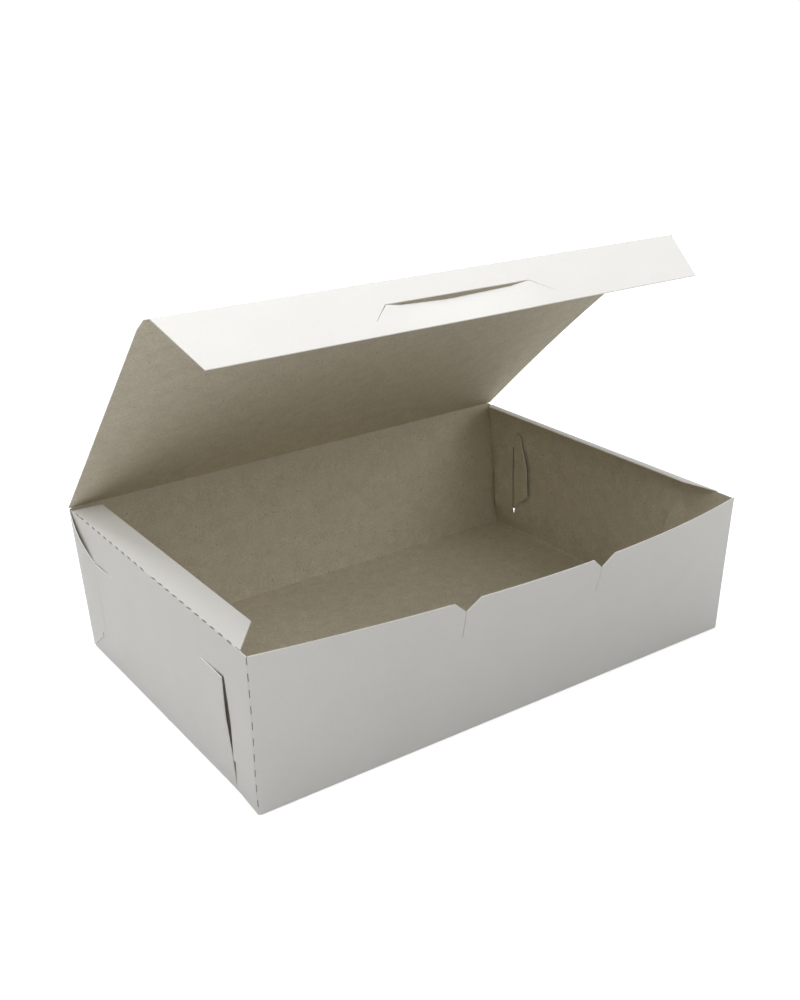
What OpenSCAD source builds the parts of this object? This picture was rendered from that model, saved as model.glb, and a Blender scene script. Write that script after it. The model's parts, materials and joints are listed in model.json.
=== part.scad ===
// Bakery box with a tuck-in lid, folded from one sheet of clay-coated chipboard and shown half open.
// The front faces -Y, the lid folds on the back wall, and Z = 0 is the table.
// The origin is the middle of the base. Lengths are in millimetres and angles in degrees.
// Only the lid and the three flaps are nodes of their own. Each is parted from the sheet at its fold.

/* [Box] */
// Length along the front
box_len = 355.6; // [320:0.1:400]
// Depth from front to back at the base
box_dep = 254; // [230:0.1:290]
// Height of the walls
box_h = 101.6; // [96:0.1:120]
// Thickness of the board
board = 0.6; // [0.5:0.05:0.7]

/* [Spring of the walls] */
// Inward lean of the end walls' top edges
end_lean = 2.4; // [1.5:0.1:3]
// Backward lean of the back wall's top edge
back_lean = 5; // [4:0.1:7]
// Forward lean of the left front corner at its top
front_lean_left = 3.2; // [2:0.1:6]
// Forward lean of the right front corner at its top
front_lean_right = 9.8; // [4:0.1:12]
// Outward bulge of the front wall's top edge at its middle
front_bulge = 20.5; // [5:0.5:26]
// How much fuller the bulge is toward the right corner
bulge_skew = 0.2; // [0:0.05:0.3]

/* [Front wall] */
// Distance of each notch from the middle
notch_at = 49; // [40:0.5:60]
// Width of a notch at the top edge
notch_w = 17; // [12:0.5:20]
// Depth of a notch
notch_depth = 8; // [6:0.5:10]
// Depth of the slit below a notch, from the top edge
tongue_slit_depth = 26; // [20:0.5:32]

/* [Corner locks] */
// Distance of the upright lock slit from the corner
slit_at = 30; // [24:0.5:36]
// Height of the lock slit's upper arm
slit_top = 74; // [66:0.5:80]
// Height of the lock slit's lower end
slit_foot = 5; // [4:0.5:9]
// Length of the lock slit's upper arm
slit_arm = 34; // [26:0.5:42]
// Opening of the upright slit at its top
slit_gape = 3.4; // [2.5:0.1:4.5]
// Reach of the lock tab beyond the slit
tab_reach = 18.5; // [14:0.5:24]
// Height of the lock tab's tip
tab_tip = 86; // [83:0.5:90]
// Height at which the lock tab starts on the slit
tab_foot = 21; // [16:0.5:26]

/* [Lid] */
// Depth of the lid from fold to fold
lid_dep = 254; // [253:0.1:254.6]
// Inset of the lid's sides from the length of the box
lid_inset = 0.8; // [0.4:0.1:1.5]
// Opening angle of the lid
lid_open = 38.6; // [32:0.1:60]
// Twist of the lid: its left edge stands this much steeper than its middle
lid_twist = 0.7; // [0:0.1:1]
// Width of the slender cut at the lid's front corners
corner_cut = 3.4; // [3.2:0.1:4.5]
// Length of the slender cut along the lid's side
corner_run = 9; // [4:0.5:14]

/* [Tuck flap] */
// Depth of the tuck flap
tuck_dep = 40; // [34:0.5:46]
// Taper of each side of the tuck flap
tuck_taper = 13.5; // [10:0.5:20]
// Fold of the tuck flap from the plane of the lid
tuck_fold = 67.4; // [60:0.1:80]
// Distance of the tongue slit from the fold
tongue_at = 18; // [14:0.5:22]
// Drop of the tongue slit's slanted ends
tongue_drop = 12; // [8:0.5:15]
// Half the length of the tongue slit's straight part
tongue_half = 48.5; // [42:0.5:54]
// Sideways run of the tongue slit's slanted ends
tongue_run = 12.5; // [8:0.5:16]

/* [Dust flaps] */
// Width of a dust flap
dust_w = 16.5; // [14:0.5:20]
// Rise of the left dust flap above level
dust_rise_left = 20; // [10:1:28]
// Rise of the right dust flap above level
dust_rise_right = 20; // [10:1:28]
// Distance of a dust flap's front end from the base's front edge
dust_front_gap = 5.4; // [5:0.1:8]

/* [Cuts in the folds] */
// Spacing of the cuts along a fold
cut_pitch = 10.2; // [9:0.1:13]
// Length of a cut
cut_len = 4.8; // [3:0.1:6]
// Width of a narrow slit
slit_w = 0.7; // [0.5:0.05:0.9]

/* [Hidden] */

white = [0.93, 0.93, 0.92];

// Distance from a fold's axis to the edge of each sheet that meets there
fold_gap = 0.4;
// Depth of a cut into the edge of a sheet at a fold
cut_depth = 0.5;
// Overlap of the parts of one sheet where they are joined
weld = 0.01;

// How late the front wall's bulge comes on its way up: 1 is evenly
bulge_rise = 1.3;
// Height of a lock flap's lower edge at the box's corner
flap_foot = 1.2;
// Radius of the lock tab's tip, and its distance beyond the slit
tip_r = 4;
tip_run = 7;
// Rise of the lock tab's slanted foot, and drop of its shoulder below the slit's arm
tab_slant = 15;
tab_shoulder = 10;
// Distance of a dust flap's back end from the base's back edge
dust_back_gap = 0.5;

end_tilt = atan(end_lean / box_h);
back_tilt = atan(back_lean / box_h);

// Inner sheet of an end: the wall is one board thickness behind the lock flaps
base_half = box_len / 2 - board;
// Height of a dust fold's axis, and of the end wall's top edge below it
dust_axis_z = box_h - board / 2;
end_top = (dust_axis_z - fold_gap) / cos(end_tilt);
// Axis of a dust fold, at the middle of the end wall's thickness
dust_axis_x = box_len / 2 - end_lean - 1.5 * board;

// Axis of the lid's fold, at the middle of the back wall's thickness
lid_axis_y = box_dep / 2 + back_lean - board / 2;
lid_axis_z = box_h + board;
lid_half = box_len / 2 - lid_inset;
// Tilt of the lid's front edge that the twist gives
front_edge_tilt = atan(lid_dep * sin(lid_twist) / lid_half);

// Half the tuck flap's length at its fold, clear of the leaning end walls
tuck_half = lid_half - corner_cut;

// Cells of the curved sheets
wall_cols = 24;
wall_rows = 5;
lid_cols = 8;

// A thin solid between two grids of points that have the same rows and columns.
// The first grid is seen anticlockwise from outside.
module sheet_between(outer, inner) {
    rows = len(outer);
    cols = len(outer[0]);
    count = rows * cols;
    points = concat([for (line = outer) each line], [for (line = inner) each line]);
    function at(r, c) = r * cols + c;
    quads = [for (r = [0 : rows - 2]) for (c = [0 : cols - 2])
        [at(r, c), at(r, c + 1), at(r + 1, c + 1), at(r + 1, c)]];
    rim = concat(
        [for (c = [0 : cols - 2]) [at(0, c), at(0, c + 1)]],
        [for (r = [0 : rows - 2]) [at(r, cols - 1), at(r + 1, cols - 1)]],
        [for (c = [cols - 1 : -1 : 1]) [at(rows - 1, c), at(rows - 1, c - 1)]],
        [for (r = [rows - 1 : -1 : 1]) [at(r, 0), at(r - 1, 0)]]);
    faces = concat(
        [for (q = quads) each [[q[2], q[1], q[0]], [q[3], q[2], q[0]]]],
        [for (q = quads) each [
            [q[0] + count, q[1] + count, q[2] + count],
            [q[0] + count, q[2] + count, q[3] + count]]],
        [for (e = rim) each [
            [e[0], e[1], e[1] + count],
            [e[0], e[1] + count, e[0] + count]]]);
    polyhedron(points, faces);
}

// Cuts along a fold of the given length, centred on the X axis
module fold_cuts(length) {
    count = floor((length - cut_len) / cut_pitch);
    for (i = [0 : count])
        translate([(i - count / 2) * cut_pitch, 0])
            square([cut_len, 2 * cut_depth], center = true);
}

// Base panel with the cuts of its four folds
module base_panel() {
    linear_extrude(board) difference() {
        square([2 * base_half, box_dep], center = true);
        for (side = [-1, 1]) {
            translate([0, side * box_dep / 2]) fold_cuts(2 * base_half - cut_pitch);
            translate([side * base_half, 0]) rotate(90) fold_cuts(box_dep - cut_pitch);
        }
    }
}

// Share of the bulge at a place along the front wall, from 0 at the left corner to 1 at the right
function bulge_along(u) = 4 * u * (1 - u) * (1 + bulge_skew * (2 * u - 1));

// Point on the outside of the front wall, at share u of its length and share v of its height
function front_point(u, v) =
    let (lean = (front_lean_left * (1 - u) + front_lean_right * u) * v)
    [
        (2 * u - 1) * (base_half - end_lean * v),
        -box_dep / 2 - lean - front_bulge * bulge_along(u) * pow(v, bulge_rise),
        box_h * v
    ];

// Front wall with its bulge, its two notches and the slits that free the centre tab
module front_wall() {
    outer = [for (r = [0 : wall_rows]) [for (c = [0 : wall_cols])
        front_point(c / wall_cols, r / wall_rows)]];
    inner = [for (line = outer) [for (p = line) p + [0, board, 0]]];
    difference() {
        sheet_between(outer, inner);
        for (side = [-1, 1])
            translate([side * notch_at, -box_dep / 2, box_h])
                rotate([90, 0, 0])
                    linear_extrude(box_dep / 2, center = true) {
                        polygon([[-notch_w / 2 - 1, 1], [-notch_w / 2, 0], [0, -notch_depth],
                            [notch_w / 2, 0], [notch_w / 2 + 1, 1]]);
                        translate([-slit_w / 2, -tongue_slit_depth])
                            square([slit_w, tongue_slit_depth - notch_depth + 1]);
                    }
    }
}

// Back wall, seen flat: X along the box and Y up the wall
module back_wall() {
    height = box_h / cos(back_tilt);
    translate([0, box_dep / 2, 0]) rotate([-back_tilt, 0, 0]) rotate([90, 0, 0])
        linear_extrude(board) difference() {
            polygon([[-base_half, 0], [base_half, 0], [base_half - end_lean, height],
                [-base_half + end_lean, height]]);
            translate([0, height]) fold_cuts(2 * base_half - cut_pitch);
        }
}

// Puts a flat drawing of the left end upright: X becomes depth and Y becomes height.
// The first board thickness is outside, and the drawing's corner is the front corner of the base.
module stand_left_end() {
    translate([-box_len / 2, -box_dep / 2, 0]) rotate([0, end_tilt, 0]) rotate([90, 0, 90])
        children();
}

// The upright slit and its upper arm, drawn for a corner at the origin
module lock_slit() {
    polygon([[slit_at - slit_w / 2, slit_foot], [slit_at + slit_w / 2, slit_foot],
        [slit_at + slit_gape, slit_top], [slit_at, slit_top]]);
    translate([slit_at, slit_top - slit_w]) square([slit_arm, slit_w]);
}

// Lock flap outside the end wall, with the slant from the box's corner to the slit.
// out is how far the corner leans away from the end at its top.
// low is the height at which the lower edge meets the slit.
module lock_flap(out, low) {
    top = box_h / cos(end_tilt);
    slope = out / top;
    difference() {
        polygon([[-slope * flap_foot, flap_foot], [slit_at, low], [slit_at, slit_top], [-out, top]]);
        translate([-out / 2, top / 2]) rotate(90 + atan(slope)) fold_cuts(top - 2 * cut_pitch);
    }
}

// Outline of the lock tab inside the end wall, with a rounded tip
module lock_tab() {
    tip = [slit_at + tip_run, tab_tip - tip_r];
    far = slit_at + tab_reach;
    polygon(concat(
        [[slit_at, slit_top], [slit_at, tab_foot], [far, tab_foot + tab_slant],
            [far, slit_top - tab_shoulder]],
        [for (a = [20 : 20 : 160]) tip + tip_r * [cos(a), sin(a)]]));
}

// One corner lock: the flap outside, its bend through the slit and the tab inside
module corner_lock(out, low) {
    linear_extrude(board) lock_flap(out, low);
    bend = slit_gape;
    intersection() {
        linear_extrude(3 * board) lock_tab();
        translate([0, box_h, 0]) rotate([90, 0, 0]) linear_extrude(box_h)
            polygon([[slit_at - weld, 0], [slit_at - weld, board], [slit_at + bend, 3 * board],
                [slit_at + 2 * tab_reach, 3 * board], [slit_at + 2 * tab_reach, 2 * board],
                [slit_at + bend, 2 * board]]);
    }
}

// Left end: the wall, with its slits, between its two corner locks.
// The front lock flap reaches down to the slit's foot, and the back one is slanted up to its tab.
module end_side(front_out) {
    stand_left_end() {
        translate([0, 0, board]) linear_extrude(board) difference() {
            polygon([[0, 0], [box_dep, 0], [box_dep + back_lean, end_top], [-front_out, end_top]]);
            lock_slit();
            translate([box_dep, 0]) mirror([1, 0]) lock_slit();
            translate([box_dep / 2, end_top]) fold_cuts(box_dep - 2 * dust_w);
        }
        corner_lock(front_out, slit_foot + 1);
        translate([box_dep, 0, 0]) mirror([1, 0, 0]) corner_lock(back_lean, tab_foot);
    }
}

// Base, four walls and four corner locks of the folded sheet
module tray() {
    color(white) union() {
        base_panel();
        front_wall();
        back_wall();
        end_side(front_lean_left);
        mirror([1, 0, 0]) end_side(front_lean_right);
    }
}

// Half the width of the lid at a distance from its fold
function lid_half_at(s) =
    let (cut_share = max(0, (s - (lid_dep - corner_run)) / corner_run))
    lid_half - corner_cut * cut_share;

// Point of the lid at share u of its width and distance s from its fold, off its middle by side
function lid_point(u, s, side) =
    let (angle = lid_open - lid_twist * (2 * u - 1))
    [
        (2 * u - 1) * lid_half_at(s),
        lid_axis_y - s * cos(angle) + side * sin(angle),
        lid_axis_z + s * sin(angle) + side * cos(angle)
    ];

// Lid: one panel with a slight twist and a slender cut at each front corner
module lid() {
    steps = [fold_gap, lid_dep / 4, lid_dep / 2, 3 * lid_dep / 4, lid_dep - corner_run,
        lid_dep - fold_gap];
    outer = [for (s = steps) [for (c = [lid_cols : -1 : 0]) lid_point(c / lid_cols, s, board / 2)]];
    inner = [for (s = steps) [for (c = [lid_cols : -1 : 0]) lid_point(c / lid_cols, s, -board / 2)]];
    color(white) sheet_between(outer, inner);
}

// Slit for the front wall's centre tab, drawn with the fold on the X axis and the flap below it
module tongue_slit() {
    far = tongue_half + tongue_run;
    low = tongue_at + tongue_drop;
    translate([-tongue_half, -tongue_at - slit_w]) square([2 * tongue_half, slit_w]);
    for (side = [-1, 1])
        polygon([[side * tongue_half, -tongue_at], [side * far, -low],
            [side * (far - slit_w), -low - slit_w], [side * (tongue_half - slit_w), -tongue_at - slit_w]]);
}

// Tuck flap: tapered panel on the lid's front edge
module tuck_flap() {
    color(white)
        translate([0, lid_axis_y, lid_axis_z]) rotate([-lid_open, 0, 0])
            rotate([0, front_edge_tilt, 0]) translate([0, -lid_dep, 0]) rotate([tuck_fold, 0, 0])
                translate([0, 0, -board / 2]) linear_extrude(board) difference() {
                    polygon([[-tuck_half, -fold_gap], [-tuck_half + tuck_taper, -tuck_dep],
                        [tuck_half - tuck_taper, -tuck_dep], [tuck_half, -fold_gap]]);
                    translate([0, -fold_gap]) fold_cuts(2 * tuck_half - cut_pitch);
                    tongue_slit();
                }
}

// Dust flap on the left end wall: ends cut at 45 degrees, raised by the given angle
module dust_flap(rise) {
    front = -box_dep / 2 + dust_front_gap;
    back = box_dep / 2 - dust_back_gap;
    slant = dust_w - fold_gap;
    translate([-dust_axis_x, 0, dust_axis_z]) rotate([0, -rise, 0])
        translate([0, 0, -board / 2]) linear_extrude(board) difference() {
            polygon([[fold_gap, front], [dust_w, front + slant], [dust_w, back - slant],
                [fold_gap, back]]);
            translate([fold_gap, 0]) rotate(90) fold_cuts(box_dep - 2 * dust_w);
        }
}

module left_dust_flap() {
    color(white) dust_flap(dust_rise_left);
}

module right_dust_flap() {
    color(white) mirror([1, 0, 0]) dust_flap(dust_rise_right);
}

tray();
lid();
tuck_flap();
left_dust_flap();
right_dust_flap();
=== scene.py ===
# %% [markdown]
# A pastry box with its lid half open, folded from one sheet of clay-coated chipboard.
# The imported parts give the folds and the way each flap moves. Here the sheet gets
# its real looks: a white coated face, a grey-brown inside, pale cut edges, perforated folds,
# and the soft spring that keeps card from lying quite flat.

# %% Load the imported box and keep its outer size
import json
from math import atan, cos, hypot, pi, radians, sin, tan

import bmesh
import bpy
from mathutils import Matrix, Vector


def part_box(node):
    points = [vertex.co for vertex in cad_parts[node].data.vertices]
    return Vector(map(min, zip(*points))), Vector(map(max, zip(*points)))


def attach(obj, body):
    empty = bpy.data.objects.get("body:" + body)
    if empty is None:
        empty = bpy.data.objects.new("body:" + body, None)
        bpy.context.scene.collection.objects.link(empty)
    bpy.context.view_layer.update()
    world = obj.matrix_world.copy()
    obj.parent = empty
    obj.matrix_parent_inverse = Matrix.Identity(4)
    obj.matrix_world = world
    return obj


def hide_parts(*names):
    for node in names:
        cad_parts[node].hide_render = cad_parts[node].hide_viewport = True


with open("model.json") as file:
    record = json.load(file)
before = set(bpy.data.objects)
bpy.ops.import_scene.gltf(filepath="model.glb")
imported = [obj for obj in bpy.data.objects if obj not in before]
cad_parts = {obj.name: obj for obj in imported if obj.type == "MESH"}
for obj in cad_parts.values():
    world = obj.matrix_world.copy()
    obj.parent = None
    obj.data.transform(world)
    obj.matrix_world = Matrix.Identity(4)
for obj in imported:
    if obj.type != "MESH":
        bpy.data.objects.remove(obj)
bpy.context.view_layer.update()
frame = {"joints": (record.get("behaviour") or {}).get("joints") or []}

# %% [markdown]
# All lengths are written in millimetres and turned into metres with mm. The folds of the lid and
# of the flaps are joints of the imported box, so their places come from there. The other sizes are
# those of the blank before it is folded.

# %% Sizes of the sheet
mm = 0.001
joints = {joint["name"]: joint for joint in frame["joints"]}


def fold_place(name):
    """Point on the axis of a packed fold."""
    return Vector(joints[name]["pos_m"])


def fold_axis(name):
    """Direction of the axis of a packed fold."""
    return Vector(joints[name]["axis"]).normalized()


box_len = 355.6 * mm
box_dep = 254 * mm
box_h = 101.6 * mm
board = 0.6 * mm
fold_r = 1.1 * mm
lid_dep = 254 * mm
print("lid fold at", tuple(fold_place("lid_hinge")))

# %% [markdown]
# The camera stands where the photographer stood: a little left of the front and about 28 degrees
# above the table. The picture was framed off the lens's middle, which a small camera shift repeats.

# %% Camera
camera_place = Vector((-396.51, -650.42, 404.33)) * mm
camera_yaw = radians(34.505)
camera_pitch = radians(28.19)
camera_roll = radians(2.151)
focal_px = 1226.74
image_w, image_h = 800, 1000
lens_middle_px = (463.5, 638.73)
sensor_w = 36.0

bpy.ops.object.camera_add()
camera = bpy.context.object
camera.name = "photo_camera"
camera.matrix_world = (
    Matrix.Translation(camera_place)
    @ Matrix.Rotation(-camera_yaw, 4, "Z")
    @ Matrix.Rotation(pi / 2 - camera_pitch, 4, "X")
    @ Matrix.Rotation(-camera_roll, 4, "Z")
)
camera.data.sensor_width = sensor_w
camera.data.lens = focal_px / image_h * sensor_w
camera.data.shift_x = (image_w / 2 - lens_middle_px[0]) / image_h
camera.data.shift_y = (lens_middle_px[1] - image_h / 2) / image_h
camera.data.clip_start = 0.01
bpy.context.scene.camera = camera
print("lens", round(camera.data.lens, 2), "mm")

# %% [markdown]
# Most steps below pick edges or faces by where they are, as a hand would click them. Three small
# helpers do the picking: one makes a piece the active one, one finds the middle of an edge or a
# face, and one selects whatever passes a test of that place.

# %% Picking helpers
def only(piece):
    """Makes one object the selected and active one."""
    if bpy.context.mode != "OBJECT":
        bpy.ops.object.mode_set(mode="OBJECT")
    bpy.ops.object.select_all(action="DESELECT")
    piece.select_set(True)
    bpy.context.view_layer.objects.active = piece


def edit(piece):
    """Opens one object in edit mode."""
    only(piece)
    bpy.ops.object.mode_set(mode="EDIT")


def middle(part):
    """Middle of an edge or a face."""
    return sum((corner.co for corner in part.verts), Vector()) / len(part.verts)


def choose(kind, test, rim=False):
    """In edit mode, selects only the parts whose middle passes the test; rim takes open edges alone."""
    bpy.ops.mesh.select_mode(type=kind)
    bpy.ops.mesh.select_all(action="DESELECT")
    sheet = bmesh.from_edit_mesh(bpy.context.edit_object.data)
    parts = {"EDGE": sheet.edges, "FACE": sheet.faces}[kind]
    chosen = [part for part in parts if (part.is_boundary if rim else True) and test(middle(part))]
    for part in chosen:
        part.select_set(True)
    sheet.select_flush_mode()
    bmesh.update_edit_mesh(bpy.context.edit_object.data)
    return len(chosen)


# %% [markdown]
# Card is modelled as one thin skin, the white face, and gets its thickness at the end. A wall grows
# out of the base as it does on the folding table: the open edge is spun a quarter turn about the
# fold, which gives a rounded crease, and then pulled straight up in rows. An outline is trimmed with
# flat cuts, as a steel rule would, and a hole is the patch left between such cuts.

# %% Folding and cutting helpers
hair = 0.01 * mm


def pull(by, rows=1):
    """Pulls the chosen edges into new rows of faces."""
    for _ in range(rows):
        bpy.ops.mesh.extrude_region_move(TRANSFORM_OT_translate={"value": Vector(by) / rows})


def crease(angle, centre, axis, steps=3):
    """Rolls the chosen edges about a fold, which leaves a rounded crease behind them."""
    bpy.ops.mesh.spin(steps=steps, angle=angle, center=centre, axis=axis)


def trim(test, point, outward):
    """Cuts the chosen faces along a plane and drops what lies outside it."""
    choose("FACE", test)
    bpy.ops.mesh.bisect(plane_co=point, plane_no=outward, clear_outer=True)


class Drawing:
    """A flat drawing on a panel: its zero, and the directions of its two measures."""

    def __init__(self, zero, along, up):
        self.zero, self.along, self.up = Vector(zero), Vector(along), Vector(up)
        self.facing = self.along.cross(self.up)

    def place(self, point):
        return self.zero + point[0] * self.along + point[1] * self.up

    def measure(self, place):
        away = place - self.zero
        return Vector((away.dot(self.along), away.dot(self.up), away.dot(self.facing)))


def die_cut(drawing, outline, margin=6 * mm):
    """Cuts a convex outline out of a flat panel and removes the waste."""
    low = [min(point[i] for point in outline) - margin for i in (0, 1)]
    high = [max(point[i] for point in outline) + margin for i in (0, 1)]

    def near(place):
        a, b, off = drawing.measure(place)
        return abs(off) < 5 * hair and low[0] < a < high[0] and low[1] < b < high[1]

    sides = list(zip(outline, outline[1:] + outline[:1]))
    for start, end in sides:
        choose("FACE", near)
        line = drawing.place(end) - drawing.place(start)
        bpy.ops.mesh.bisect(plane_co=drawing.place(start), plane_no=line.cross(drawing.facing).normalized())
    centre = [sum(point[i] for point in outline) / len(outline) for i in (0, 1)]

    def inside(place):
        a, b, off = drawing.measure(place)
        if abs(off) > 5 * hair:
            return False
        for start, end in sides:
            run = (end[0] - start[0], end[1] - start[1])
            here = run[0] * (b - start[1]) - run[1] * (a - start[0])
            there = run[0] * (centre[1] - start[1]) - run[1] * (centre[0] - start[0])
            if here * there <= 0:
                return False
        return True

    waste = choose("FACE", inside)
    bpy.ops.mesh.delete(type="FACE")
    return waste


# %% [markdown]
# Coated board is a white coat on grey stock with a pale, fibrous edge wherever the die has cut. The
# fourth material is painted shade: a dark colour laid at the bottom of a perforated crease's groove
# and on the cut edges of the lock slits, where shade falls. They are made here and get their looks at the
# end.

# %% Material slots
white, grey, edge, marked = range(4)


def new_material(name):
    material = bpy.data.materials.new(name)
    material.use_nodes = True
    return material


coated, stock = new_material("coated_face"), new_material("grey_stock")
# The fourth material is painted shade for the grooves and the lock slits, not a colour of the card.
cut_edge, groove_shade = new_material("cut_edge"), new_material("painted_groove_shade")


def add_slots(piece):
    for material in (coated, stock, cut_edge, groove_shade):
        piece.data.materials.append(material)


# %% [markdown]
# The blank is the same at all four corners, so a quarter of the base is drawn and mirrored twice.
# Its cells are about 5 mm long, which is also the length of a cut and of a bridge in the perforated
# folds: every other cell of a crease will be pressed in. The end walls stand one board thickness
# inside the lock flaps, with a hair of air between.

# %% A quarter of the base
air = 0.1 * mm
end_face = box_len / 2 - board - air
base_x = end_face - fold_r
base_y = box_dep / 2 - fold_r
cells_x, cells_y, wall_rows = 35, 25, 20

bpy.ops.object.select_all(action="DESELECT")
bpy.ops.mesh.primitive_grid_add(
    x_subdivisions=cells_x, y_subdivisions=cells_y, size=1, rotation=(pi, 0, 0),
    location=(-base_x / 2, -base_y / 2, 0))
tray = bpy.context.object
tray.name = "tray_sheet"
tray.scale = (base_x, base_y, 1)
bpy.ops.object.transform_apply(location=True, rotation=True, scale=True)
add_slots(tray)
print("base cells", len(tray.data.polygons))

# %% [markdown]
# The front wall starts as the base's open front edge. It is rolled up about the crease and pulled
# straight to its height in rows, which leaves enough points for the wall to bulge later.

# %% Half of the front wall, rolled up from the base
front_top = box_h
row_h = (front_top - fold_r) / wall_rows
edit(tray)
choose("EDGE", lambda m: m.y < -base_y + hair, rim=True)
crease(pi / 2, (0, -base_y, fold_r), (1, 0, 0))
pull((0, 0, front_top - fold_r), wall_rows)

# %% [markdown]
# The front wall turns the corner and becomes the lock flap, which lies outside the end wall. It then
# bends in through the slit of the end wall, and its end is the tab that is seen inside the box. The
# whole strip is one path in plan view: straight, a quarter turn, 28 mm along the end, a bend in, a
# short slope and a bend back, so that the tab stands a little off the wall.

# %% Corner crease, lock flap and tab
slit_at = 29.4 * mm
slit_top = 74 * mm
slit_foot = 4 * mm
tab_foot = 21 * mm
tab_run = 16.5 * mm
bend_angle = radians(36)
stand_off = radians(5)
bend_r = 1.2 * mm
slope_run = 2.2 * mm


def bend(place, heading, angle, radius):
    """Turns the chosen upright edges to the right of their heading, or to the left below zero."""
    to_centre = Vector((cos(heading), -sin(heading), 0)) * (radius if angle > 0 else -radius)
    centre = place + to_centre
    crease(angle, centre, (0, 0, 1), steps=2)
    return centre - Matrix.Rotation(-angle, 3, "Z") @ to_centre, heading + angle


def walk(place, heading, distance, rows=1):
    """Pulls the chosen upright edges straight on along their heading."""
    run = Vector((sin(heading), cos(heading), 0)) * distance
    pull(run, rows)
    return place + run


choose("EDGE", lambda m: abs(m.x + base_x) < hair and m.y < -base_y - hair, rim=True)
pull((base_x - (box_len / 2 - fold_r), 0, 0))
choose("EDGE", lambda m: abs(m.x + box_len / 2 - fold_r) < hair and m.z > fold_r, rim=True)
crease(pi / 2, (-box_len / 2 + fold_r, -box_dep / 2 + fold_r, 0), (0, 0, 1))
place, heading = Vector((-box_len / 2, -box_dep / 2 + fold_r, 0)), 0.0
place = walk(place, heading, slit_at - fold_r, rows=5)
place, heading = bend(place, heading, bend_angle, bend_r)
place = walk(place, heading, slope_run)
place, heading = bend(place, heading, stand_off - bend_angle, board / 2)
tab_start = place.copy()
place = walk(place, heading, tab_run, rows=4)
print("tab ends", [round(c / mm, 2) for c in place])

# %% [markdown]
# The flap's top edge falls from the corner's top to the slit. The tab has a neck at the slit, a
# rounded tip that stands above the slit's top and keeps the flap from slipping out, and a slanted
# foot. Its outline is a round tip between straight sides, so every cut is a plane that touches it.

# %% Outline of the lock flap and the tab
lock = Drawing((-box_len / 2, -box_dep / 2, 0), (0, 1, 0), (0, 0, 1))
tip_r = 4 * mm
tip = (37 * mm, 82 * mm)
far_low, far_high = (tab_start.y - lock.zero.y + tab_run, 36.5 * mm), (47.6 * mm, 65 * mm)
flap_foot = 5 * mm
tip_start, tip_end = 20, 145


def tip_point(degrees):
    """Point on the tab's round tip."""
    return tip[0] + tip_r * cos(radians(degrees)), tip[1] + tip_r * sin(radians(degrees))


def on_flap(m):
    return m.x < -box_len / 2 + fold_r and m.y < -box_dep / 2 + slit_at and m.z > fold_r


def on_tab(m):
    return m.y > -box_dep / 2 + slit_at and m.x < -box_len / 2 + 8 * mm and m.z > fold_r


def trim_side(test, start, end):
    """Cuts along a line of the lock's drawing and drops what lies to its right."""
    line = lock.place(end) - lock.place(start)
    trim(test, lock.place(start), Vector((0, line.z, -line.y)).normalized())


trim_side(on_flap, (slit_at, slit_top), (0, front_top))
trim_side(on_flap, (0, fold_r), (slit_at, flap_foot))
trim_side(on_tab, (slit_at, tab_foot), far_low)
for degrees in range(tip_start, tip_end, 20):
    touch = tip_point(degrees)
    along_rim = (-sin(radians(degrees)) * mm, cos(radians(degrees)) * mm)
    trim_side(on_tab, touch, (touch[0] + along_rim[0], touch[1] + along_rim[1]))
trim_side(on_tab, far_high, tip_point(tip_start))
trim_side(on_tab, tip_point(tip_end), (slit_at, slit_top))
bpy.ops.object.mode_set(mode="OBJECT")
print("front strip faces", len(tray.data.polygons))

# %% [markdown]
# The end wall grows from the base's left edge in the same way. Its top stops just short of the dust
# flap's fold. The slit that takes the lock is an L: a long upright cut that gapes, and a thin arm
# towards the middle of the box.

# %% Half of the end wall, with its lock slit
dust_z = fold_place("left_dust_fold").z
half_slot = 0.45 * mm
slit_w = 0.5 * mm
slit_arm = 35 * mm
slit_gape, gape_z = 4.2 * mm, 47 * mm
top_gape, foot_gape = 3.2 * mm, 1.8 * mm
edit(tray)
choose("EDGE", lambda m: m.x < -base_x + hair and m.z < hair and m.y > -base_y, rim=True)
crease(-pi / 2, (-base_x, 0, fold_r), (0, 1, 0))
pull((0, 0, dust_z - half_slot - fold_r), wall_rows)

end_wall = Drawing((-end_face, -box_dep / 2, 0), (0, 1, 0), (0, 0, 1))
slit_x = slit_at - slit_w
back_slit_foot = tab_foot - 4 * mm
arm_w, arm_start = 0.15 * mm, 2 * mm
die_cut(end_wall, [(slit_x, back_slit_foot), (slit_x + slit_w, back_slit_foot),
                   (slit_x + foot_gape, tab_foot), (slit_x + slit_gape + slit_w, gape_z),
                   (slit_x + top_gape, slit_top), (slit_x, slit_top)])
die_cut(end_wall, [(slit_x + arm_start, slit_top - arm_w), (slit_x + slit_arm, slit_top - arm_w),
                   (slit_x + slit_arm, slit_top), (slit_x + arm_start, slit_top)], margin=3 * mm)
bpy.ops.object.mode_set(mode="OBJECT")
print("quarter sheet faces", len(tray.data.polygons))

# %% [markdown]
# The folds are perforated: short cuts alternate with bridges of the same length. A cut shows as a
# small groove in the crease, so the middle strip of every other cell of the rolled crease is marked
# here, given the painted shade material, and pressed in once the card has its thickness.

# %% Perforated creases
arc = fold_r * (1 - cos(pi / 4))
dash_reach = 0.25 * fold_r


def odd_cell(distance, cell):
    return int(distance / cell) % 2 == 1


def on_dash(m):
    """True on the cut stretches of the three creases of the quarter sheet."""
    off_front, off_end = m.y + box_dep / 2 - arc, m.z - arc
    if hypot(off_front, off_end) < dash_reach and m.x > -base_x:
        return odd_cell(-m.x, base_x / cells_x)
    if hypot(m.x + end_face - arc, m.z - arc) < dash_reach and m.y > -base_y:
        return odd_cell(-m.y, base_y / cells_y)
    if hypot(m.x + box_len / 2 - arc, m.y + box_dep / 2 - arc) < dash_reach:
        return odd_cell(m.z - fold_r, row_h)
    return False


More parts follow.
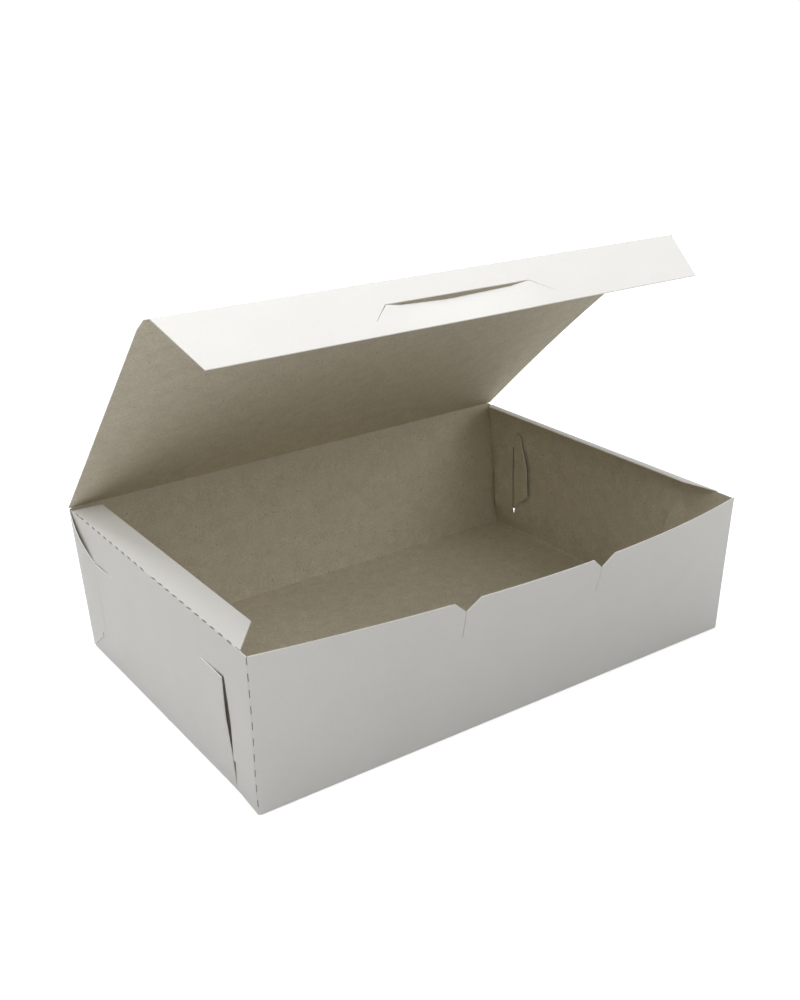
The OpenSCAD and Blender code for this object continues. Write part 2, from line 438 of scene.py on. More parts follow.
edit(tray)
print("cuts", choose("FACE", on_dash))
# The marked strips take the fourth slot, the painted shade of the grooves.
tray.active_material_index = marked
bpy.ops.object.material_slot_assign()
bpy.ops.object.mode_set(mode="OBJECT")

# %% [markdown]
# Two mirrors turn the quarter into the whole tray with its four corner locks. The skin must face
# outwards all round, because the card's thickness is grown inwards from it.

# %% Mirror the quarter to the whole tray
def finish_with(piece, kind, name, **settings):
    """Adds a modifier, sets it and applies it."""
    only(piece)
    modifier = piece.modifiers.new(name, kind)
    for key, value in settings.items():
        setattr(modifier, key, value)
    bpy.ops.object.modifier_apply(modifier=name)


finish_with(tray, "MIRROR", "four_corners", use_axis=(True, True, False), merge_threshold=hair / 10)
edit(tray)
bpy.ops.mesh.select_all(action="SELECT")
bpy.ops.mesh.normals_make_consistent(inside=False)
bpy.ops.object.mode_set(mode="OBJECT")
base_down = sum(face.normal.z for face in tray.data.polygons if face.center.z < hair)
print("tray sheet faces", len(tray.data.polygons), "base faces down", base_down < 0)

# %% [markdown]
# Some things differ between front and back. The back wall is a little taller than the front, because
# the lid folds on it, and the back lock flaps have a steeper lower edge.

# %% Back wall's top and back lock flaps
lid_z = fold_place("lid_hinge").z
edit(tray)
choose("EDGE", lambda m: m.y > box_dep / 2 - hair and m.z > front_top - hair and abs(m.x) < base_x,
       rim=True)
pull((0, 0, lid_z - half_slot - front_top))
for side in (-1, 1):
    line = Vector((0, -slit_at, tab_foot - fold_r))
    trim(lambda m: (side * m.x > box_len / 2 - hair or side * m.x > base_x and m.y > base_y)
         and m.y > box_dep / 2 - slit_at and m.z > fold_r,
         (0, box_dep / 2, fold_r), Vector((0, -line.z, line.y)).normalized())

# %% [markdown]
# The slits at the front run farther down than those at the back, nearly to the bottom, so the
# narrow end of the cut is taken out of the two front corners only.

# %% Lower ends of the front slits
for side in (-1, 1):
    end_wall = Drawing((side * end_face, -box_dep / 2, 0), (0, 1, 0), (0, 0, 1))
    die_cut(end_wall, [(slit_x, slit_foot), (slit_x + slit_w, slit_foot), (slit_x + foot_gape, tab_foot),
                       (slit_x, tab_foot)])

# %% [markdown]
# Only the front wall has the two notches, with a fine slit below each, that free the centre tab for
# the lid's long slit.

# %% Notches and slits of the front wall
notch_at = 49 * mm
notch_w = 17 * mm
notch_depth = 8 * mm
tongue_slit_depth = 26 * mm
front_wall = Drawing((0, -box_dep / 2, front_top), (1, 0, 0), (0, 0, 1))
for side in (-1, 1):
    at = side * notch_at
    die_cut(front_wall, [(at - notch_w / 2 - mm, mm), (at - notch_w / 2, 0), (at, -notch_depth),
                         (at + notch_w / 2, 0), (at + notch_w / 2 + mm, mm)])
    die_cut(front_wall, [(at - slit_w / 2, -tongue_slit_depth), (at + slit_w / 2, -tongue_slit_depth),
                         (at + slit_w / 2, -notch_depth + slit_w), (at - slit_w / 2, -notch_depth + slit_w)],
            margin=3 * mm)
bpy.ops.object.mode_set(mode="OBJECT")
print("tray with cuts", len(tray.data.polygons))

# %% [markdown]
# Folded card never lies quite flat or stands quite square. Each spring below is one Displace
# modifier that moves points along an axis: a vertex group holds every point's share of the move.

# %% Spring helper
def spring(piece, name, axis, amount, share):
    """Moves each point along an axis by its share, from 0 to 1, of the amount."""
    group = piece.vertex_groups.new(name=name)
    for point in piece.data.vertices:
        weight = min(1, share(point.co))
        if weight > 0:
            group.add([point.index], weight, "REPLACE")
    finish_with(piece, "DISPLACE", name, direction=axis, mid_level=0, strength=amount, vertex_group=name)
    piece.vertex_groups.clear()


def rise(value, low, high):
    """0 below low, 1 above high and straight between."""
    return min(1, max(0, (value - low) / (high - low)))


def hump(value, low, peak, high):
    """0 outside low and high, and 1 at the peak between them."""
    return min(rise(value, low, peak), 1 - rise(value, peak, high))


# %% [markdown]
# The tab pulls the lock flap into the slit, together with the strip of wall behind it, while the wall
# beyond the slit lifts a little. The slit gapes between them and shows dark. At the back the flap's
# slanted top edge stands off the wall. The shares are measured from the box's corner along the end.

# %% Spring of the corner locks
def in_end(p, side, way):
    """True at one corner of the box: side -1 is left and way -1 is the front."""
    return side * p.x > end_face - 4 * mm and way * p.y > 0


def inward(p):
    """Distance inside the end wall's skin: below 0 on a lock flap, above 0 on a tab."""
    return end_face - abs(p.x)


def along(p):
    """Distance from the corner along the end."""
    return box_dep / 2 - abs(p.y)


def beyond_slit(p):
    return abs(inward(p)) < hair and along(p) > slit_x + slit_w / 2


def press_share(p):
    if beyond_slit(p) and p.z < slit_top - hair:
        return 0
    fall = 1 - rise(along(p), slit_at, 2 * slit_at) if abs(inward(p)) < hair else 1
    return rise(along(p), 6 * mm, slit_at) ** 2 * hump(p.z, slit_foot, 47 * mm, 96 * mm) * fall


def lift_share(p):
    if not beyond_slit(p) or p.z > slit_top - hair:
        return 0
    return rise(p.z, slit_foot, 60 * mm) * (1 - rise(along(p), slit_at, slit_at + slit_arm)) ** 1.5


def stand_share(p):
    if inward(p) > -hair:
        return 0
    edge_z = front_top - (front_top - slit_top) * along(p) / slit_at
    return sin(pi * rise(along(p), 0, slit_at)) * rise(p.z, 25 * mm, edge_z)


def tab_share(p):
    """The tab, whose free edge stands off the inside of the wall."""
    return rise(along(p), slit_at, slit_at + 20 * mm) if inward(p) > 2 * hair else 0


# Each corner's side and way, then how far its wall is pressed in and lifted, and how far the flap
# and the tab stand off, in mm
locks = ((-1, -1, 1.5, 0.9, 0.4, 0.5), (1, -1, 1.2, 0.2, 0.4, 2.0),
         (-1, 1, 0.6, 1.1, 2.2, 0.5), (1, 1, 0.6, 0.1, 2.0, 1.5))
for side, way, press, lift, stand, tab in locks:
    for name, amount, share in (("press", -press, press_share), ("lift", lift, lift_share),
                                ("stand_off", stand, stand_share), ("tab_off", -tab, tab_share)):
        spring(tray, name, "X", side * amount * mm, lambda p: share(p) if in_end(p, side, way) else 0)


def foot_out_share(p):
    """The front left flap's lower corner, which has slid out over the end wall's fold."""
    if p.y > 0 or p.x > -end_face and p.y > -box_dep / 2 + hair or p.x > -box_len / 2 + 40 * mm:
        return 0
    if p.x < -base_x:
        across = 1 - rise(along(p), 12 * mm, 26 * mm)
    else:
        across = 1 - rise(p.x, -base_x, -base_x + 40 * mm)
    return across * rise(p.z, 0, fold_r) * (1 - rise(p.z, 25 * mm, 60 * mm))


def bow_share(p):
    """The rear part of the right end, which bows in above its fold."""
    if not in_end(p, 1, 1):
        return 0
    corner = rise(along(p), fold_r, 12 * mm) if inward(p) < -hair or along(p) < fold_r else 1
    return corner * (1 - rise(along(p), 25 * mm, 60 * mm)) * hump(p.z, fold_r, 20 * mm, 92 * mm)


foot_out, end_bow = 1 * mm, 4.5 * mm
spring(tray, "flap_foot_out", "X", -foot_out, foot_out_share)
spring(tray, "right_end_bow", "X", -end_bow, bow_share)

# %% [markdown]
# The end walls lean in a little, the back wall leans back, the front corners lean forward and the
# front wall bulges between them, fuller towards the right.

# %% Spring of the walls
end_lean = end_face - board / 2 - abs(fold_place("left_dust_fold").x)
back_lean = fold_place("lid_hinge").y + board / 2 - box_dep / 2
front_lean_left = 3.2 * mm
front_lean_right = 9.8 * mm
front_bulge = 20.5 * mm
bulge_skew = 0.2
lean_fade = 30 * mm


def height_share(p):
    return max(0, p.z / box_h)


def fade(distance):
    """1 on a front or back wall, falling to 0 where the lock flaps meet their slits."""
    return max(0, 1 - max(0, distance) / lean_fade)


def bulge_share(p):
    u = min(1, max(0, 0.5 + p.x / box_len))
    skew = 1 + bulge_skew * (2 * u - 1)
    return 4 * u * (1 - u) * skew * height_share(p) ** 1.3 * fade(p.y + box_dep / 2)


bulge_peak = 1.05
spring(tray, "left_end_in", "X", end_lean, lambda p: height_share(p) * -p.x / end_face)
spring(tray, "right_end_in", "X", -end_lean, lambda p: height_share(p) * p.x / end_face)
spring(tray, "front_left_out", "Y", -front_lean_left,
       lambda p: height_share(p) * (0.5 - p.x / box_len) * fade(p.y + box_dep / 2))
spring(tray, "front_right_out", "Y", -front_lean_right,
       lambda p: height_share(p) * (0.5 + p.x / box_len) * fade(p.y + box_dep / 2))
spring(tray, "front_bulge", "Y", -front_bulge * bulge_peak, lambda p: bulge_share(p) / bulge_peak)
spring(tray, "back_out", "Y", back_lean,
       lambda p: height_share(p) * box_h / lid_z * fade(box_dep / 2 - p.y))
print("end lean", round(end_lean / mm, 2), "mm, back lean", round(back_lean / mm, 2), "mm")

# %% [markdown]
# The lid is one panel on the back wall's top edge. Like the dust flaps and the tuck flap it is drawn
# flat, with bridges of card that reach the fold between the cuts. It is turned up about its fold at
# the very end, once it has its thickness.

# %% A panel with bridges to its fold
def panel(name, low, high, cells, z):
    """A flat grid of card with its white face up, between two corners."""
    only(tray)
    bpy.ops.object.select_all(action="DESELECT")
    bpy.ops.mesh.primitive_grid_add(
        x_subdivisions=cells[0], y_subdivisions=cells[1], size=1,
        location=((low[0] + high[0]) / 2, (low[1] + high[1]) / 2, z))
    piece = bpy.context.object
    piece.name = name
    piece.scale = (high[0] - low[0], high[1] - low[1], 1)
    bpy.ops.object.transform_apply(location=True, rotation=True, scale=True)
    add_slots(piece)
    return piece


def to_fold(test, along, cell, reach):
    """Pulls a sheet's open edge to its fold, the bridges first and then the cuts between them."""
    counts = []
    for part in (0, 1):
        counts.append(choose("EDGE", lambda m: test(m) and int(abs(m[along]) / cell) % 2 == part, rim=True))
        pull(reach)
    return counts


# %% [markdown]
# The lid is as deep as the box. Its two front corners are cut back by a slender wedge, its sides
# flare towards the front, and its right side bows up a little.

# %% Lid
lid_fold = fold_place("lid_hinge")
lid_half = 175.6 * mm
lid_front = lid_fold.y - lid_dep
corner_cut, corner_run = 1.6 * mm, 10 * mm
lid_cells = (70, 48)
lid = panel("lid_sheet", (-lid_half, lid_front + half_slot), (lid_half, lid_fold.y - half_slot),
            lid_cells, lid_fold.z + board / 2)
lid_cell = 2 * lid_half / lid_cells[0]
edit(lid)
to_fold(lambda m: abs(m.y - lid_fold.y + half_slot) < 10 * hair, 0, lid_cell, (0, half_slot, 0))
to_fold(lambda m: abs(m.y - lid_front - half_slot) < 10 * hair, 0, lid_cell, (0, -half_slot, 0))
for side in (-1, 1):
    trim(lambda m: side * m.x > lid_half - 2 * lid_cell and m.y < lid_front + 2 * corner_run,
         (side * (lid_half - corner_cut), lid_front, 0),
         Vector((side * corner_run, -corner_cut, 0)).normalized())
bpy.ops.object.mode_set(mode="OBJECT")


def lid_share(p):
    """0 on the lid's fold and 1 at its front edge."""
    return (lid_fold.y - p.y) / lid_dep


lid_flare = 2.4 * mm
front_shift = 0.8 * mm
lid_bow = 3 * mm
spring(lid, "flare_left", "X", -lid_flare - front_shift,
       lambda p: rise(-p.x, 0, lid_half) * lid_share(p))
spring(lid, "flare_right", "X", lid_flare - front_shift,
       lambda p: rise(p.x, 0, lid_half) * lid_share(p))
spring(lid, "right_side_bow", "Z", lid_bow,
       lambda p: sin(pi * rise(lid_share(p), 0, 1)) * rise(p.x, -lid_half / 3, lid_half))
print("lid faces", len(lid.data.polygons))

# %% [markdown]
# The tuck flap tapers towards its free edge, so that it slips inside the end walls. A long slit with
# slanted ends takes the front wall's centre tab when the box is shut. The strip below the slit has
# sprung outwards a little, so the slit gapes in the middle.

# %% Tuck flap
tuck_dep = 41.2 * mm
tuck_half = 175.6 * mm
tongue_at, tongue_drop = 18 * mm, 12 * mm
tongue_half, tongue_run = 48.5 * mm, 12.5 * mm
tongue_slit = 0.35 * mm
tuck_cells = (70, 8)
tuck_cell = 2 * tuck_half / tuck_cells[0]
tuck = panel("tuck_flap_sheet", (-tuck_half, lid_front - tuck_dep), (tuck_half, lid_front - half_slot),
             tuck_cells, lid_fold.z + board / 2)
edit(tuck)
to_fold(lambda m: abs(m.y - lid_front + half_slot) < 10 * hair, 0, tuck_cell, (0, half_slot, 0))
flap_face = Drawing((0, lid_front, lid_fold.z + board / 2), (1, 0, 0), (0, 1, 0))
outline = [(x * mm, y * mm) for x, y in ((-174.3, 0), (-163.5, -41.2), (164.3, -38.8), (174.3, 0))]
for start, end in zip(outline, outline[1:]):
    line = flap_face.place(end) - flap_face.place(start)
    trim(lambda m: True, flap_face.place(start), line.cross(flap_face.facing).normalized())
upper, lower = -tongue_at, -tongue_at - tongue_slit
die_cut(flap_face, [(-tongue_half, lower), (tongue_half, lower), (tongue_half, upper),
                    (-tongue_half, upper)], margin=3 * mm)
for side in (-1, 1):
    near_end, far_end = side * (tongue_half - tongue_slit), side * (tongue_half + tongue_run)
    die_cut(flap_face, [(near_end, upper), (near_end, lower),
                        (far_end - side * tongue_slit, lower - tongue_drop),
                        (far_end, lower - tongue_drop), (near_end + side * tongue_slit, upper)], margin=mm)
bpy.ops.object.mode_set(mode="OBJECT")


lip_peak = -8 * mm


def lip_share(p):
    """The strip below the slit: 1 a little left of its middle, 0 at its ends and at the free edge."""
    below = lid_front - tongue_at - p.y
    if below < tongue_slit / 2:
        return 0
    across = rise(p.x, -tongue_half - mm, lip_peak) * (1 - rise(p.x, lip_peak, tongue_half + mm))
    return min(1, 4 * across) * (0.4 + 0.6 * across) * (1 - rise(below, 0, tuck_dep - tongue_at))


lip_open, lip_sunk = 2 * mm, 2 * mm
spring(tuck, "lip_open", "Y", -lip_open, lip_share)
spring(tuck, "lip_sunk", "Z", -lip_sunk, lip_share)
print("tuck flap faces", len(tuck.data.polygons))

# %% [markdown]
# A dust flap closes the gap between the lid and an end wall. It is a narrow strip on the end wall's
# top fold, and both of its ends are cut at 45 degrees so that they clear the corners.

# %% Dust flaps
dust_w = 16.5 * mm
dust_ends = (-box_dep / 2 + 5.4 * mm, box_dep / 2 - 0.5 * mm)
dust_cells = (3, 50)


def dust_flap(name, joint, side):
    """A narrow flap on an end wall, with both ends cut at 45 degrees. Side is -1 for the left one."""
    fold = fold_place(joint)
    free = fold.x - side * dust_w
    root = fold.x - side * half_slot
    low, high = (min(root, free), dust_ends[0]), (max(root, free), dust_ends[1])
    piece = panel(name, low, high, dust_cells, fold.z + board / 2)
    edit(piece)
    to_fold(lambda m: abs(m.x - root) < hair, 1, base_y / cells_y, (side * half_slot, 0, 0))
    for end, way in ((dust_ends[0], -1), (dust_ends[1], 1)):
        trim(lambda m: True, (root, end, 0), (-side, way, 0))
    bpy.ops.object.mode_set(mode="OBJECT")
    return piece


left_dust = dust_flap("left_dust_flap_sheet", "left_dust_fold", -1)
right_dust = dust_flap("right_dust_flap_sheet", "right_dust_fold", 1)
print("dust flap faces", len(left_dust.data.polygons), len(right_dust.data.polygons))

# %% [markdown]
# The tray's end walls and back wall get their own bridges up to the folds of the flaps and the lid.
# They line up with those on the other side of the fold, so the two sheets read as one.

# %% Bridges on the tray's folds
edit(tray)
for side in (-1, 1):
    to_fold(lambda m: abs(m.x - side * (end_face - end_lean)) < mm and abs(m.y) < base_y - hair
            and abs(m.z - dust_z + half_slot) < 10 * hair, 1, base_y / cells_y, (0, 0, half_slot))
to_fold(lambda m: m.y > box_dep / 2 + back_lean - mm and abs(m.z - lid_z + half_slot) < 10 * hair, 0,
        base_x / cells_x, (0, 0, half_slot))
bpy.ops.object.mode_set(mode="OBJECT")

# %% [markdown]
# Now every sheet gets its thickness. Solidify grows it inwards from the white face. Its settings give
# the inner face the next material slot and the cut edges the one after, which is how coated board
# is built: a white coat on grey stock, and a pale, fibrous edge wherever the die has cut.

# %% Thickness of the card
sheets = {"tray": tray, "lid": lid, "tuck_flap": tuck,
          "left_dust_flap": left_dust, "right_dust_flap": right_dust}
for piece in sheets.values():
    finish_with(piece, "SOLIDIFY", "thickness", thickness=board, offset=-1, use_even_offset=True,
                use_quality_normals=True, material_offset=1, material_offset_rim=2)
    print(piece.name, "faces with thickness", len(piece.data.polygons))

# %% [markdown]
# The marked stretches of the creases are pressed in from the white side to two thirds of the card.
# That is how a crease-cut looks from outside: a short groove, painted dark at its bottom as painted
# shade, while the inside stays closed and no light comes through. The cut edges of the upright lock
# slits get the same painted shade, and the top edge of the front wall is worn round, which shows as a pale
# rim.

# %% Grooves of the perforated creases
groove_dep, wear = 0.4 * mm, 0.35 * mm
edit(tray)
box_middle = Vector((0, 0, box_h / 2))
bpy.ops.mesh.select_mode(type="FACE")
bpy.ops.mesh.select_all(action="DESELECT")
sheet = bmesh.from_edit_mesh(tray.data)
for face in sheet.faces:
    if face.material_index == marked:
        if face.normal.dot(middle(face) - box_middle) > 0:
            face.select_set(True)
        else:
            face.material_index = grey
    # The cut edges of the lock slits get the painted shade, a dark line where the slit's shade falls.
    elif face.material_index == edge:
        place = middle(face)
        if (abs(place.x) > end_face - 8 * mm and slit_foot < place.z < slit_top - mm
                and abs(along(place) - slit_x) < 0.3 * mm):
            face.material_index = marked
print("grooves", sum(face.select for face in sheet.faces))
bmesh.update_edit_mesh(tray.data)
bpy.ops.mesh.extrude_region_shrink_fatten(TRANSFORM_OT_shrink_fatten={"value": -groove_dep})
bpy.ops.mesh.select_mode(type="EDGE")
bpy.ops.mesh.select_all(action="DESELECT")
sheet = bmesh.from_edit_mesh(tray.data)
for line in sheet.edges:
    place = middle(line)
    if (place.y < -box_dep / 2 and place.z > front_top - notch_depth - mm and abs(place.x) < base_x
            and {face.material_index for face in line.link_faces} == {white, edge}):
        line.select_set(True)
print("worn edges", sum(line.select for line in sheet.edges))
bmesh.update_edit_mesh(tray.data)
bpy.ops.mesh.bevel(offset=wear, segments=1, affect="EDGES", clamp_overlap=True, material=edge)
bpy.ops.object.mode_set(mode="OBJECT")

# %% [markdown]
# At a fold two sheets meet at the axis. A bridge ends in a round nose about that axis, so the white
# skin looks whole at any angle of the flap. At a cut the outer edge is planed off instead, on both
# sheets, which leaves a groove that is closed towards the inside; the planed faces are painted dark as
# painted shade.

# %% Noses and grooves at the folds
nose_cut, plane_cut = 0.28 * mm, 0.3 * mm


def near_line(place, point, direction):
    """Distance of a place from a fold's axis."""
    return (place - point).cross(direction).length


def end_at_fold(piece, point, direction, outward, cell):
    """Rounds the bridges that end on a fold, and planes the outer edge of the cuts between them, painting
    the planed faces with painted shade.
    """
    along = 0 if abs(direction.x) > 0.5 else 1
    edit(piece)
    done = []
    for part in (0, 1):
        bpy.ops.mesh.select_mode(type="FACE")
        bpy.ops.mesh.select_all(action="DESELECT")
        sheet = bmesh.from_edit_mesh(piece.data)
        for face in sheet.faces:
            if face.material_index == edge and near_line(middle(face), point, direction) < 0.25 * mm:
                face.material_index = (white, grey)[int(abs(middle(face)[along]) / cell) % 2]
        bpy.ops.mesh.select_mode(type="EDGE")
        sheet = bmesh.from_edit_mesh(piece.data)
        count = 0
        for line in sheet.edges:
            run = line.verts[1].co - line.verts[0].co
            close = all(near_line(v.co, point, direction) < 0.36 * mm for v in line.verts)
            outer = part == 0 or (middle(line) - point).dot(outward) > 0
            if (close and outer and abs(run.normalized().dot(direction)) > 0.98 and run.length > mm
                    and int(abs(middle(line)[along]) / cell) % 2 == part):
                line.select_set(True)
                count += 1
        bmesh.update_edit_mesh(piece.data)
        if part == 0:
            bpy.ops.mesh.bevel(offset=nose_cut, segments=3, affect="EDGES", clamp_overlap=True)
        else:
            # The planed faces take the painted shade material.
            bpy.ops.mesh.bevel(offset=plane_cut, segments=1, affect="EDGES", clamp_overlap=True,
                               material=marked)
        done.append(count)
    bpy.ops.object.mode_set(mode="OBJECT")
    return done


x_axis, y_axis, z_axis = Vector((1, 0, 0)), Vector((0, 1, 0)), Vector((0, 0, 1))
tuck_fold_flat = Vector((0, lid_front, lid_fold.z))
left_fold, right_fold = fold_place("left_dust_fold"), fold_place("right_dust_fold")
end_cell, back_cell = base_y / cells_y, base_x / cells_x
print("noses and grooves",
      end_at_fold(tray, lid_fold, x_axis, y_axis, back_cell),
      end_at_fold(tray, left_fold, y_axis, -x_axis, end_cell),
      end_at_fold(tray, right_fold, y_axis, x_axis, end_cell),
      end_at_fold(lid, lid_fold, x_axis, z_axis, lid_cell),
      end_at_fold(lid, tuck_fold_flat, x_axis, z_axis, lid_cell),
      end_at_fold(tuck, tuck_fold_flat, x_axis, z_axis, tuck_cell),
      end_at_fold(left_dust, left_fold, y_axis, z_axis, end_cell),
      end_at_fold(right_dust, right_fold, y_axis, z_axis, end_cell))

# %% [markdown]
# The lid and its tuck flap stand open at the angles of the photograph. The lid is twisted a little:
# its left edge stands higher than its right. The twist is a spring like those of the walls, and it
# tilts the fold of the tuck flap, which is turned with it.

# %% Open the lid and the flaps
lid_open = radians(38.6)
lid_twist = radians(0.7)
tuck_fold = radians(67.4)
dust_rise = radians(20)


def turn(piece, point, angle, axis):
    """Turns a piece about a line through a point and bakes the turn into its mesh."""
    spin = Matrix.Translation(point) @ Matrix.Rotation(angle, 4, axis) @ Matrix.Translation(-point)
    piece.matrix_world = spin @ piece.matrix_world
    only(piece)
    bpy.ops.object.transform_apply(location=True, rotation=True, scale=True)


twist_rise = 2 * lid_dep * tan(lid_twist)
twist_half = 177 * mm
spring(lid, "twist", "Z", twist_rise, lambda p: (0.5 - p.x / (2 * twist_half)) * lid_share(p))
spring(lid, "twist_level", "Z", -twist_rise / 2, lid_share)
turn(lid, lid_fold, -lid_open, x_axis)
turn(tuck, tuck_fold_flat, tuck_fold, x_axis)
turn(tuck, tuck_fold_flat, atan(lid_dep * sin(lid_twist) / twist_half), y_axis)
turn(tuck, lid_fold, -lid_open, x_axis)
turn(left_dust, fold_place("left_dust_fold"), -dust_rise, y_axis)
turn(right_dust, fold_place("right_dust_fold"), dust_rise, y_axis)
for name, piece in sheets.items():
    low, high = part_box(name)
    corners = [Vector(c) for c in piece.bound_box]
    print(name, [round(c / mm, 1) for c in (*low, *high)],
          [round(c / mm, 1) for c in (*corners[0], *corners[6])])

# %% [markdown]
# Rolled creases and sprung walls are shaded smooth, while cut edges stay crisp. Weighted normals keep
# the big panels from picking up the shading of the small faces at their rims.

# %% Smooth shading of the creases
for piece in sheets.values():
    only(piece)
    bpy.ops.object.shade_smooth_by_angle(angle=radians(35))
    finish_with(piece, "WEIGHTED_NORMAL", "flat_panels", keep_sharp=True, weight=100)

# %% [markdown]
# Each finish is a small node tree that reads Object coordinates, so its grain has its real size and
# stays on the card when a flap moves. The helper adds a noise and turns it into a range of values.

# %% Node helpers
def start_nodes(material):
    """Adds Object coordinates to a material and returns its tree, its shader and the coordinates."""
    tree = material.node_tree
    shader = tree.nodes["Principled BSDF"]
    place = tree.nodes.new("ShaderNodeTexCoord")
    return tree, shader, place.outputs["Object"]


def grain(tree, place, size, low, high):
    """A noise of the given size in metres, mapped to a range."""
    noise = tree.nodes.new("ShaderNodeTexNoise")
    noise.inputs["Scale"].default_value = 1 / size
    noise.inputs["Detail"].default_value = 4.0
    tree.links.new(place, noise.inputs["Vector"])
    spread = tree.nodes.new("ShaderNodeMapRange")
    spread.inputs["From Min"].default_value = 0.3
    spread.inputs["From Max"].default_value = 0.7
    spread.inputs["To Min"].default_value = low
    spread.inputs["To Max"].default_value = high
    tree.links.new(noise.outputs["Fac"], spread.inputs["Value"])
    return spread.outputs["Result"]


def combine(tree, first, second):
    """Multiplies two values."""
    node = tree.nodes.new("ShaderNodeMath")
    node.operation = "MULTIPLY"
    tree.links.new(first, node.inputs[0])
    tree.links.new(second, node.inputs[1])
    return node.outputs["Value"]


def tint(tree, shader, colour, strength):
    """Sets the base colour to one colour times a varying strength."""
    mix = tree.nodes.new("ShaderNodeVectorMath")
    mix.operation = "SCALE"
    mix.inputs[0].default_value = colour
    tree.links.new(strength, mix.inputs["Scale"])
    tree.links.new(mix.outputs["Vector"], shader.inputs["Base Color"])


def relief(tree, shader, height, depth):
    """Bumps the surface by a value, over a depth in metres."""
    bump = tree.nodes.new("ShaderNodeBump")
    bump.inputs["Distance"].default_value = depth
    bump.inputs["Strength"].default_value = 1.0
    tree.links.new(height, bump.inputs["Height"])
    tree.links.new(bump.outputs["Normal"], shader.inputs["Normal"])


# %% [markdown]
# The outside has a thin clay coat. It is nearly even, with a soft cloudiness from the board below and
# a very fine speckle, and it has a dull sheen.

# %% White coated face
tree, shader, place = start_nodes(coated)
cloud = grain(tree, place, 30 * mm, 0.985, 1.01)
speckle = grain(tree, place, 1.5 * mm, 0.985, 1.01)
tint(tree, shader, (0.80, 0.79, 0.762), combine(tree, cloud, speckle))
shader.inputs["Roughness"].default_value = 0.62
shader.inputs["Specular IOR Level"].default_value = 0.3
relief(tree, shader, grain(tree, place, 1.2 * mm, 0, 1), 0.01 * mm)

# %% [markdown]
# The inside is bare recycled stock, a grey brown that is mottled by its pulp. Fine fibres and a few
# dark flecks lie in it: each fleck is the middle of a cell that happens to lie in the surface.

# %% Grey stock
tree, shader, place = start_nodes(stock)
mottle = grain(tree, place, 9 * mm, 0.95, 1.05)
fibre = grain(tree, place, 1.3 * mm, 0.89, 1.11)
specks = tree.nodes.new("ShaderNodeTexVoronoi")
specks.inputs["Scale"].default_value = 1 / (6 * mm)
tree.links.new(place, specks.inputs["Vector"])
fade = tree.nodes.new("ShaderNodeMapRange")
for name, value in (("From Min", 0.05), ("From Max", 0.1), ("To Min", 0.45), ("To Max", 1.0)):
    fade.inputs[name].default_value = value
tree.links.new(specks.outputs["Distance"], fade.inputs["Value"])
flecks = fade.outputs["Result"]
tint(tree, shader, (0.67, 0.618, 0.497), combine(tree, combine(tree, mottle, fibre), flecks))
shader.inputs["Roughness"].default_value = 0.85
shader.inputs["Specular IOR Level"].default_value = 0.2
relief(tree, shader, grain(tree, place, 1.0 * mm, 0, 1), 0.02 * mm)

# %% [markdown]
# A fresh die-cut edge is paler than the stock, because its fibres stand open and scatter the light.

# %% Cut edge
tree, shader, place = start_nodes(cut_edge)
tint(tree, shader, (0.93, 0.91, 0.86), grain(tree, place, 0.8 * mm, 0.94, 1.05))
shader.inputs["Roughness"].default_value = 0.8
shader.inputs["Specular IOR Level"].default_value = 0.2

# %% [markdown]
# Painted shade: a dark, mottled colour laid in the grooves of the creases and along the lock slits, where
# shade falls.

# %% Painted shade in the grooves and lock slits
tree, shader, place = start_nodes(groove_shade)
# A dark brown that stands in for the shade in the grooves and slits.
tint(tree, shader, (0.3, 0.268, 0.21), grain(tree, place, 0.8 * mm, 0.8, 1.2))
shader.inputs["Roughness"].default_value = 0.9
shader.inputs["Specular IOR Level"].default_value = 0.1

# %% [markdown]
# Each sheet rides on its imported body and stands for that part, which is hidden.

# %% Every sheet stands for its imported part
for name, piece in sheets.items():
    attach(piece, name + "_body")
    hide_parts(name)

# %% [markdown]
# The floor is plain and pale. Seen by the camera it adds a glow of its own, so that it reads as
# white. Farther away, where the lamps no longer reach it, the glow grows to plain white. At this
# level of glow the soft shadow of the box is lost in the white.

# %% Floor
only(tray)
bpy.ops.object.select_all(action="DESELECT")
floor_width, floor_drop = 60, 0.05 * mm
bpy.ops.mesh.primitive_plane_add(size=floor_width, location=(0, 0, -floor_drop))
floor = bpy.context.object
floor.name = "floor"
floor_paint = new_material("floor_paint")
tree = floor_paint.node_tree
shader = tree.nodes["Principled BSDF"]
shader.inputs["Base Color"].default_value = (0.65, 0.65, 0.65, 1)
shader.inputs["Roughness"].default_value = 0.9
shader.inputs["Specular IOR Level"].default_value = 0.0
place = tree.nodes.new("ShaderNodeTexCoord")
reach = tree.nodes.new("ShaderNodeVectorMath")
reach.operation = "LENGTH"
tree.links.new(place.outputs["Object"], reach.inputs[0])
glow = tree.nodes.new("ShaderNodeMapRange")
near, far = 0.6, 2.0
for name, value in (("From Min", near), ("From Max", far), ("To Min", 0.66), ("To Max", 1.0)):
    glow.inputs[name].default_value = value
tree.links.new(reach.outputs["Value"], glow.inputs["Value"])
rays = tree.nodes.new("ShaderNodeLightPath")
shader.inputs["Emission Color"].default_value = (1, 1, 1, 1)
seen = tree.nodes.new("ShaderNodeMath")
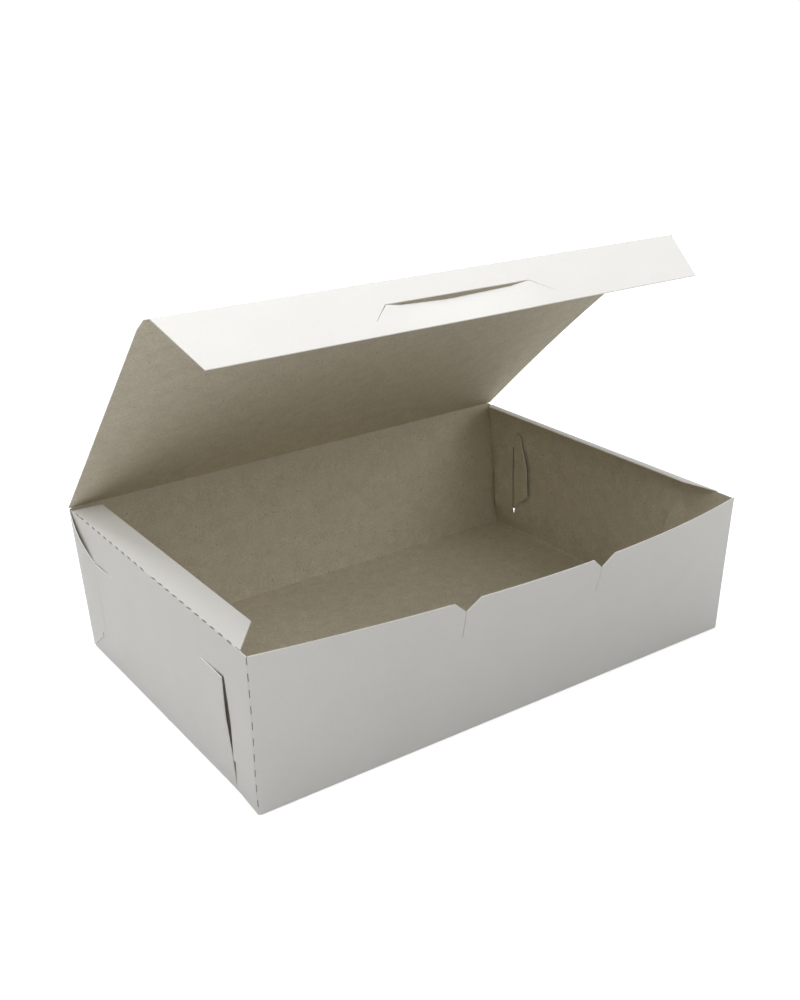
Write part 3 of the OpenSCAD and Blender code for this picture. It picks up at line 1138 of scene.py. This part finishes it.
seen.operation = "MULTIPLY"
tree.links.new(rays.outputs["Is Camera Ray"], seen.inputs[0])
tree.links.new(glow.outputs["Result"], seen.inputs[1])
tree.links.new(seen.outputs["Value"], shader.inputs["Emission Strength"])
floor.data.materials.append(floor_paint)

# %% [markdown]
# The light is that of a product studio. A big lamp behind and above the box makes the tuck flap the
# brightest face, two on the left light the end, and two softer ones in front reach the grey inside
# under the lid. A weak even sky fills the rest; it is plain white where the camera sees it.

# %% World
world = bpy.data.worlds.new("studio")
bpy.context.scene.world = world
world.use_nodes = True
tree = world.node_tree
rays = tree.nodes.new("ShaderNodeLightPath")
seen = tree.nodes.new("ShaderNodeMath")
seen.operation = "MAXIMUM"
tree.links.new(rays.outputs["Is Camera Ray"], seen.inputs[0])
tree.links.new(rays.outputs["Is Glossy Ray"], seen.inputs[1])
level = tree.nodes.new("ShaderNodeMapRange")
level.inputs["To Min"].default_value = 0.2
level.inputs["To Max"].default_value = 1.0
tree.links.new(seen.outputs["Value"], level.inputs["Value"])
tree.links.new(level.outputs["Result"], tree.nodes["Background"].inputs["Strength"])
tree.nodes["Background"].inputs["Color"].default_value = (1, 1, 1, 1)

# %% Lamps
lamp_aim = Vector((0, 0, 80 * mm))
lamp_distance = 1.8
lamp_size = 1.2


def lamp(name, bearing, height, watts):
    """A round softbox aimed at the box. Bearing 0 is the front, and right of it is positive."""
    bearing, height = radians(bearing), radians(height)
    away = Vector((sin(bearing) * cos(height), -cos(bearing) * cos(height), sin(height)))
    bpy.ops.object.light_add(type="AREA", location=lamp_aim + lamp_distance * away,
                             rotation=away.to_track_quat("Z", "Y").to_euler())
    softbox = bpy.context.object
    softbox.name = name
    softbox.data.shape = "DISK"
    softbox.data.size = lamp_size
    softbox.data.energy = watts


lamp("back_top", 180, 60, 31)
lamp("left_high", -80, 60, 7.5)
lamp("left", -85, 30, 1.8)
lamp("front", -15, 35, 2.5)
lamp("front_right", 30, 35, 6.8)
bpy.context.scene.view_settings.view_transform = "Standard"
